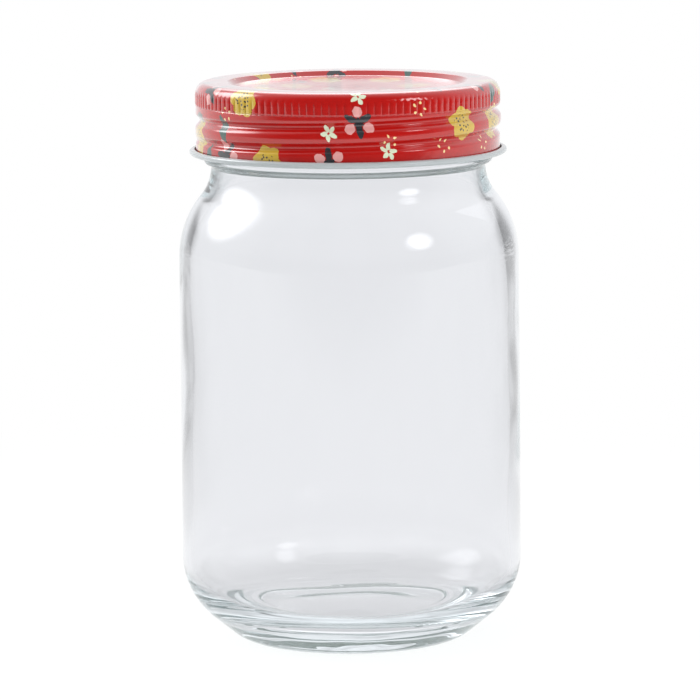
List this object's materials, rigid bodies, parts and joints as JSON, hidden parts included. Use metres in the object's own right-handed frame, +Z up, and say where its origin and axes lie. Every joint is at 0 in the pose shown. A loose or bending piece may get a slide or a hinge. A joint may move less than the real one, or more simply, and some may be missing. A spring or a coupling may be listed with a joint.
{
  "type": "mason jar",
  "caption": "Clear glass screw-top jar with rounded shoulders and heel, a continuous thread, and a one-piece printed tinplate lid with a sealing ring.",
  "frame": {"origin": "centre of the foot ring, on the surface that the jar stands on", "axes": "+Z up along the jar's axis; -Y is the side seen from the front, +X is to the right"},
  "size_m": [0.0794, 0.0794, 0.13],
  "materials": {
    "clear_glass": "clear, smooth, moulded",
    "printed_tinplate": "gloss varnish over print",
    "plastisol": "soft, satin"
  },
  "bodies": {
    "jar": {"glass_jar": "clear_glass"},
    "lid_carrier": {"lid_gasket": "plastisol"},
    "lid": {"lid_shell": "printed_tinplate"}
  },
  "joints": [
    {"name": "lid_rise", "type": "slide", "parent": "jar", "child": "lid_carrier", "axis": [0, 0, 1], "range_m": [0, 0.0071]},
    {"name": "lid_turn", "type": "hinge", "parent": "lid_carrier", "child": "lid", "pos_m": [0, 0, 0.12842], "axis": [0, 0, 1], "range_deg": [0, 540]}
  ],
  "couplings": [
    {"joint": "lid_rise", "follows": "lid_turn", "m_per_rad": 0.00074803}
  ]
}
